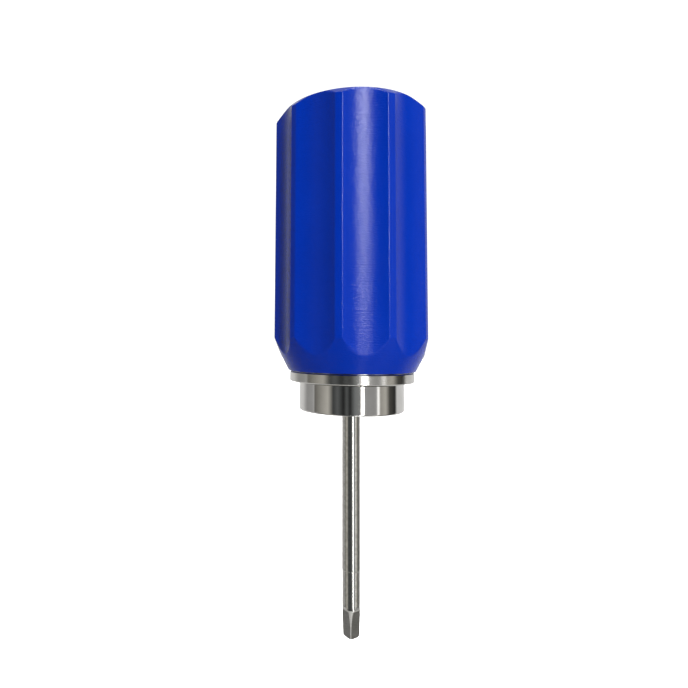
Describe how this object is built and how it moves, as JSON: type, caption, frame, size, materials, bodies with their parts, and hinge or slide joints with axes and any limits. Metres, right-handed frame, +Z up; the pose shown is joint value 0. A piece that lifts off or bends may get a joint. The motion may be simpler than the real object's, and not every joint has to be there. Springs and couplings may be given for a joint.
{
  "type": "watchmaker screwdriver",
  "caption": "Palm-grip watchmaker screwdriver: fluted nylon grip, steel flange and nose collar, and a clamped removable blade with a small square tapered tip.",
  "frame": {"origin": "centre of the end face of the tip, on the blade's axis", "axes": "+Z up the tool's axis from the tip to the grip's head; -Y through the middle of a flute"},
  "size_m": [0.03, 0.029, 0.1],
  "materials": {
    "blue_nylon": "satin, machined",
    "turned_steel": "fine turned",
    "polished_steel": "polished",
    "blade_steel": "ground and polished, lightly worn",
    "dark_steel": "black oxide",
    "brass": "as machined"
  },
  "bodies": {
    "handle": {"grip_body": "blue_nylon", "flange_insert_1": "brass", "flange_insert_2": "brass", "flange_insert_3": "brass", "flange_screw_1": "dark_steel", "flange_screw_2": "dark_steel", "flange_screw_3": "dark_steel", "ferrule": "turned_steel", "nose_collar": "polished_steel"},
    "blade": {"blade": "blade_steel"},
    "left_clamp_screw": {"clamp_screw_left": "dark_steel"},
    "right_clamp_screw": {"clamp_screw_right": "dark_steel"},
    "stop_screw": {"stop_screw": "dark_steel"}
  },
  "joints": [
    {"name": "blade_draw", "type": "slide", "parent": "handle", "child": "blade", "axis": [0, 0, -1], "range_m": [0, 0.031]},
    {"name": "left_clamp_back_out", "type": "slide", "parent": "handle", "child": "left_clamp_screw", "axis": [-0.7071, 0.7071, 0], "range_m": [0, 0.0015]},
    {"name": "right_clamp_back_out", "type": "slide", "parent": "handle", "child": "right_clamp_screw", "axis": [0.7071, 0.7071, 0], "range_m": [0, 0.0015]},
    {"name": "stop_adjust", "type": "slide", "parent": "handle", "child": "stop_screw", "axis": [0, 0, 1], "range_m": [0, 0.003]}
  ]
}
